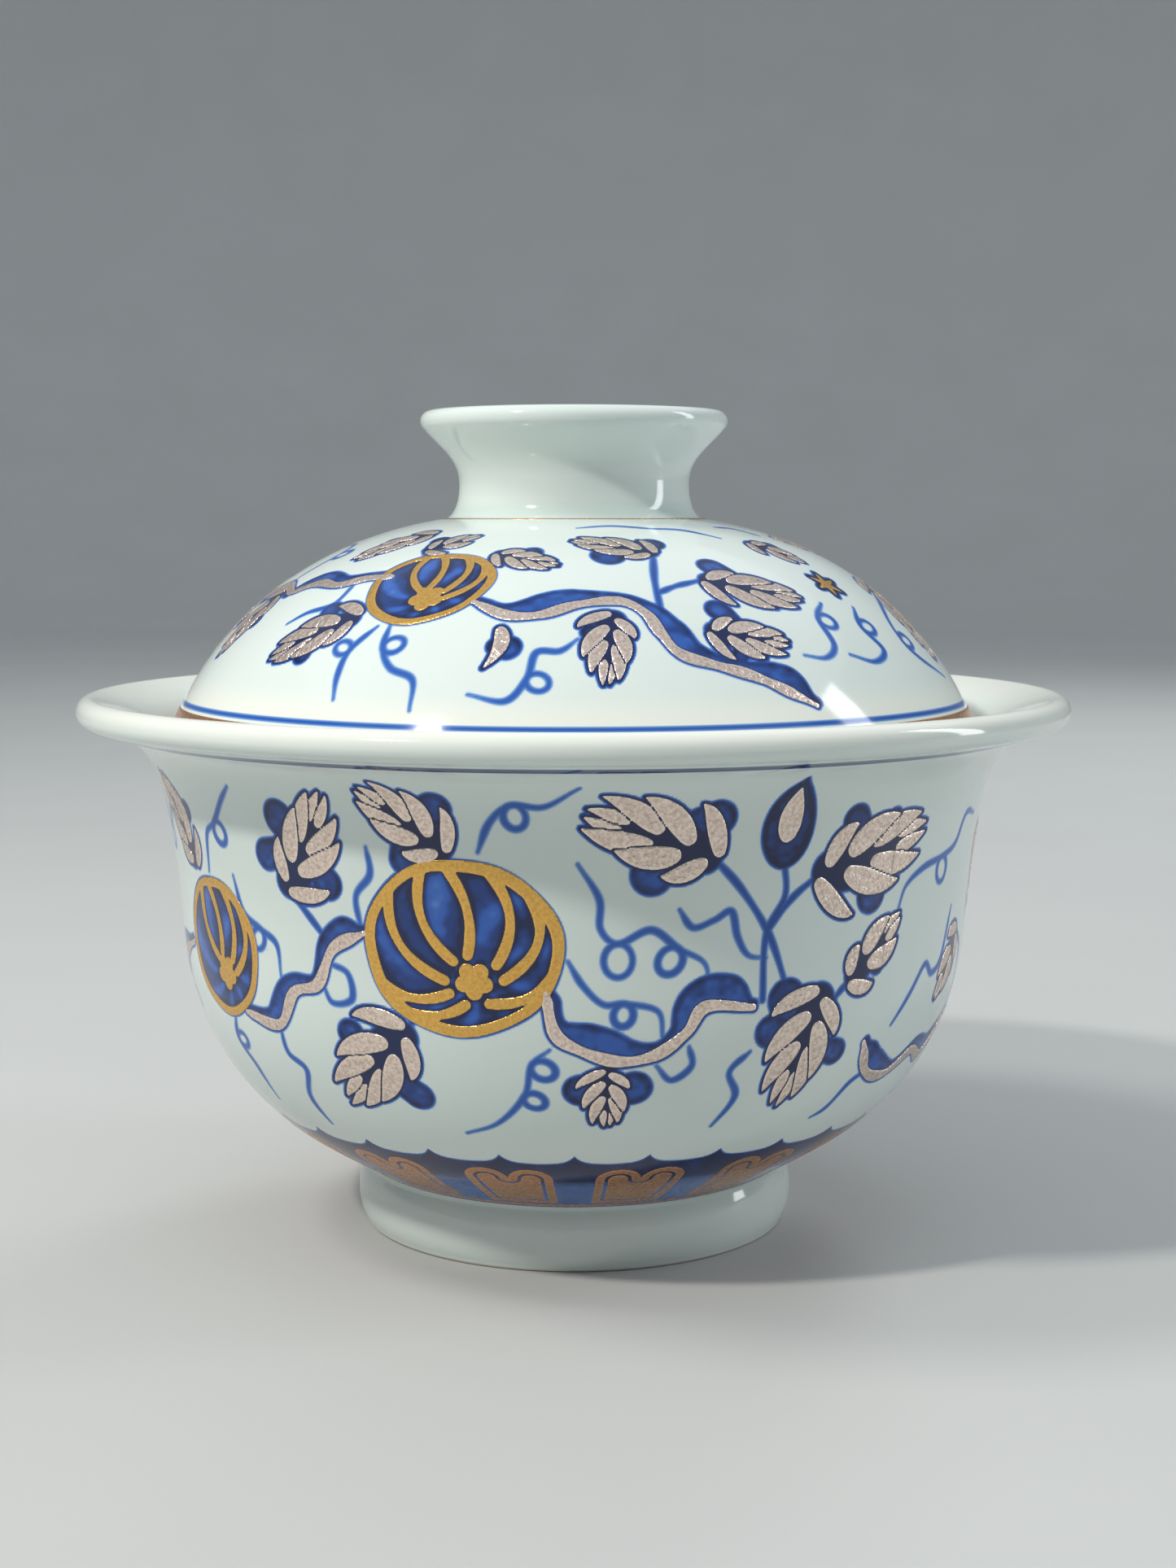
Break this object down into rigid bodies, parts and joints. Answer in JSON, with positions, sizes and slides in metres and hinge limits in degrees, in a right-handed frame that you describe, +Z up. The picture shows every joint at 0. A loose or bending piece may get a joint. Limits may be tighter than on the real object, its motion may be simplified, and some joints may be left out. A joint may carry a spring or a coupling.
{
  "type": "gaiwan",
  "caption": "Lidded porcelain tea bowl with a flared lip, a turned foot ring and a domed lid with a hollow ring knob, painted with melons on a vine.",
  "frame": {"origin": "centre of the foot ring, in the plane that it stands on", "axes": "+Z up along the axis of the bowl and the lid; the main painted face looks along -Y"},
  "size_m": [0.103, 0.103, 0.0852],
  "materials": {
    "porcelain": "gloss",
    "cobalt_blue": "gloss",
    "gold_enamel": "satin",
    "silver_enamel": "satin",
    "copper_line": "satin"
  },
  "bodies": {
    "bowl": {"bowl": "porcelain"},
    "lid": {"lid": "porcelain"}
  },
  "joints": [
    {"name": "lid_lift", "type": "slide", "parent": "bowl", "child": "lid", "axis": [0, 0, 1], "range_m": [0, 0.06]}
  ]
}
